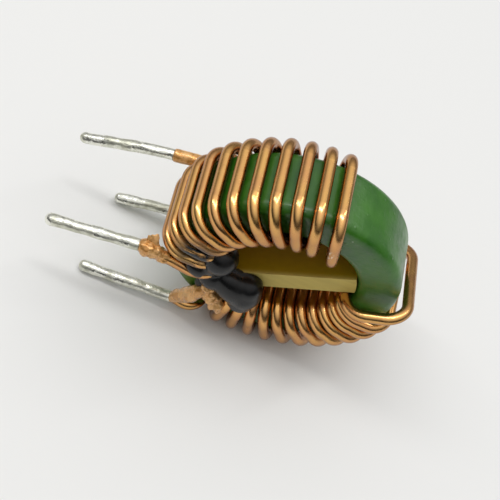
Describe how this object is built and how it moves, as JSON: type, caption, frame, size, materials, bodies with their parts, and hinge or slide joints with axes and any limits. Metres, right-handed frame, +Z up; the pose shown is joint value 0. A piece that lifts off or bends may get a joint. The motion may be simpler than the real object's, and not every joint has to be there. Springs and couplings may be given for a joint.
{
  "type": "toroidal inductor",
  "caption": "Common mode choke with two copper windings on a coated ring core, an upright divider in the bore and wire leads to one side.",
  "frame": {"origin": "middle of the base of the bounding box, on the surface that the part lies on", "axes": "+X away from the lead tips along the surface, +Y along the ring axis to the back face, +Z up"},
  "size_m": [0.0406, 0.0134, 0.0277],
  "materials": {
    "ferrite": "matt",
    "green_epoxy": "glossy",
    "divider_board": "satin",
    "enamelled_copper": "glossy enamel",
    "solder": "bright, uneven",
    "black_epoxy": "satin"
  },
  "bodies": {
    "root": {"ferrite_core": "ferrite", "core_coating": "green_epoxy", "divider": "divider_board", "upper_winding": "enamelled_copper", "lower_winding": "enamelled_copper", "solder_tip_a": "solder", "solder_tip_b": "solder", "solder_tip_c": "solder", "solder_tip_d": "solder", "glue": "black_epoxy"}
  },
  "joints": []
}
